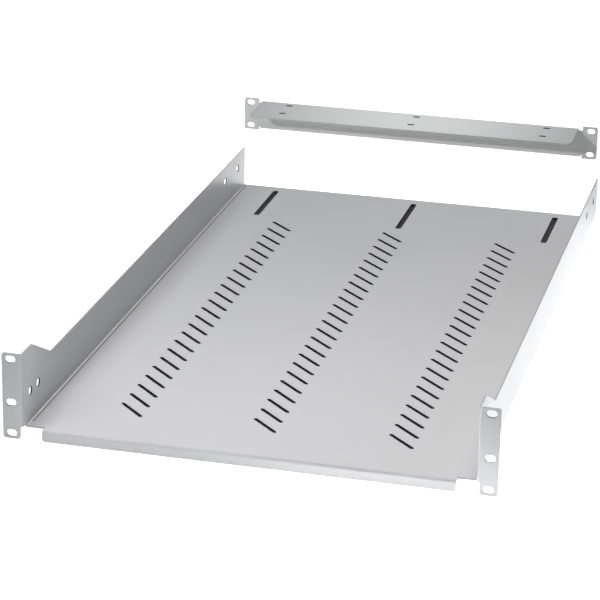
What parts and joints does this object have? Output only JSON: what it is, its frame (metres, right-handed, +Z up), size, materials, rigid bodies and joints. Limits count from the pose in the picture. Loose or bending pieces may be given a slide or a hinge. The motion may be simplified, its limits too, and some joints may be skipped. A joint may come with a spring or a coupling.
{
  "type": "four post rack shelf",
  "caption": "Ventilated rack shelf: a folded steel tray with slotted front ears and raised sides, and a separate flanged rear bracket for the back posts.",
  "frame": {"origin": "centre of the hole pattern of the tray's front ears, on the ears' rear face, which lies against the front posts", "axes": "+X to the right seen from the front, +Y into the rack towards the rear posts, +Z up"},
  "size_m": [0.5376, 1.0935, 0.0882],
  "materials": {
    "powder_coat": "fine light grey powder coat, satin, with a slight orange peel"
  },
  "bodies": {
    "root": {"shelf_pan": "powder_coat", "rear_support_bracket": "powder_coat"}
  },
  "joints": []
}
